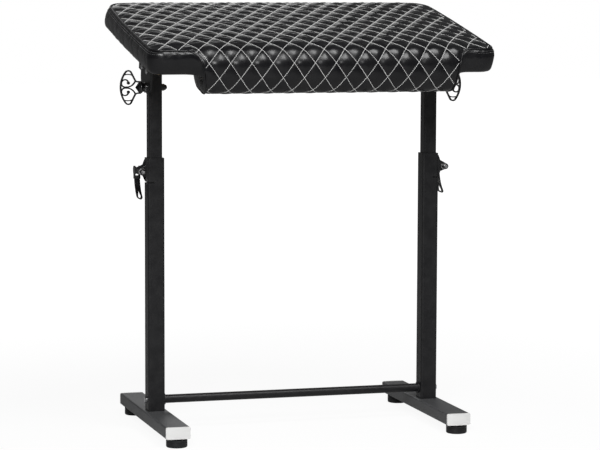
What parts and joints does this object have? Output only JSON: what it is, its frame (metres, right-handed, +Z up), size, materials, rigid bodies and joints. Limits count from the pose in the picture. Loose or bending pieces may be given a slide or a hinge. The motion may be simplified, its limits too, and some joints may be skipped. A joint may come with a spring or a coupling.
{
  "type": "tattoo arm rest stand",
  "caption": "Floor-standing arm rest: a wide quilted pad with a deep front roll tilts on telescoping square posts with cam clamps, scroll handles and levelling feet.",
  "frame": {"origin": "on the floor, under the middle of the stand's overall box", "axes": "+Z up, +X to the right of someone who faces the front roll, -Y towards the front roll"},
  "size_m": [0.6706, 0.432, 0.8008],
  "materials": {
    "beam_grey": "semi-gloss powder coat",
    "post_black": "satin powder coat",
    "cap_white": "moulded, satin",
    "zinc": "zinc plated",
    "black_plastic": "moulded, fine grain",
    "enamel_black": "gloss enamel",
    "nylon": "natural nylon",
    "pu_leather": "soft gloss polyurethane leather, diamond stitched over foam",
    "plywood": "raw plywood"
  },
  "bodies": {
    "base": {"left_foot_beam": "beam_grey", "right_foot_beam": "beam_grey", "left_front_cap": "cap_white", "right_front_cap": "cap_white", "left_rear_cap": "cap_white", "right_rear_cap": "cap_white", "foot_nuts": "zinc", "left_lower_post": "post_black", "right_lower_post": "post_black", "left_guide_sleeve": "black_plastic", "right_guide_sleeve": "black_plastic", "cross_bar": "post_black", "cross_bar_plugs": "zinc", "cross_bar_rings": "black_plastic", "cross_bar_bolts": "zinc", "left_clamp_bolt": "zinc", "right_clamp_bolt": "zinc", "clamp_nuts": "enamel_black", "clamp_washers": "zinc", "cam_seats": "black_plastic", "cam_pins": "zinc"},
    "left_mast": {"left_upper_post": "post_black", "left_post_plug": "black_plastic", "left_slide_shoe": "black_plastic", "left_tilt_bolt": "zinc", "left_spacer_tube": "zinc", "left_cap_nut": "enamel_black", "left_friction_washer": "nylon", "left_steel_washer": "zinc"},
    "right_mast": {"right_upper_post": "post_black", "right_post_plug": "black_plastic", "right_slide_shoe": "black_plastic", "right_tilt_bolt": "zinc", "right_spacer_tube": "zinc", "right_cap_nut": "enamel_black", "right_friction_washer": "nylon", "right_steel_washer": "zinc"},
    "pad": {"pad_cushion": "pu_leather", "pad_board": "plywood", "left_pivot_plate": "post_black", "right_pivot_plate": "post_black", "left_angle": "post_black", "right_angle": "post_black", "plate_screws": "zinc", "board_screws": "zinc"},
    "left_handle": {"left_tilt_handle": "enamel_black"},
    "right_handle": {"right_tilt_handle": "enamel_black"},
    "left_lever": {"left_cam_lever": "enamel_black"},
    "right_lever": {"right_cam_lever": "enamel_black"},
    "left_front_foot": {"left_front_glide": "black_plastic", "left_front_stud": "zinc"},
    "left_rear_foot": {"left_rear_glide": "black_plastic", "left_rear_stud": "zinc"},
    "right_front_foot": {"right_front_glide": "black_plastic", "right_front_stud": "zinc"},
    "right_rear_foot": {"right_rear_glide": "black_plastic", "right_rear_stud": "zinc"}
  },
  "joints": [
    {"name": "left_mast_slide", "type": "slide", "parent": "base", "child": "left_mast", "axis": [0, 0, 1], "range_m": [-0.095, 0.19]},
    {"name": "right_mast_slide", "type": "slide", "parent": "base", "child": "right_mast", "axis": [0, 0, 1], "range_m": [-0.095, 0.19]},
    {"name": "pad_tilt", "type": "hinge", "parent": "left_mast", "child": "pad", "pos_m": [-0.27, 0.00976, 0.646], "axis": [1, 0, 0], "range_deg": [-55, 45]},
    {"name": "left_handle_turn", "type": "hinge", "parent": "left_mast", "child": "left_handle", "pos_m": [-0.27, 0.00976, 0.646], "axis": [1, 0, 0], "continuous": true},
    {"name": "right_handle_turn", "type": "hinge", "parent": "right_mast", "child": "right_handle", "pos_m": [0.27, 0.00976, 0.646], "axis": [1, 0, 0], "continuous": true},
    {"name": "left_lever_swing", "type": "hinge", "parent": "base", "child": "left_lever", "pos_m": [-0.2974, 0.03731, 0.49], "axis": [1, 0, 0], "range_deg": [0, 110]},
    {"name": "right_lever_swing", "type": "hinge", "parent": "base", "child": "right_lever", "pos_m": [0.2974, 0.03731, 0.49], "axis": [1, 0, 0], "range_deg": [0, 110]},
    {"name": "left_front_foot_screw", "type": "slide", "parent": "base", "child": "left_front_foot", "axis": [0, 0, 1], "range_m": [-0.01, 0]},
    {"name": "left_rear_foot_screw", "type": "slide", "parent": "base", "child": "left_rear_foot", "axis": [0, 0, 1], "range_m": [-0.01, 0]},
    {"name": "right_front_foot_screw", "type": "slide", "parent": "base", "child": "right_front_foot", "axis": [0, 0, 1], "range_m": [-0.01, 0]},
    {"name": "right_rear_foot_screw", "type": "slide", "parent": "base", "child": "right_rear_foot", "axis": [0, 0, 1], "range_m": [-0.01, 0]}
  ],
  "couplings": [
    {"joint": "right_mast_slide", "follows": "left_mast_slide", "ratio": 1}
  ]
}
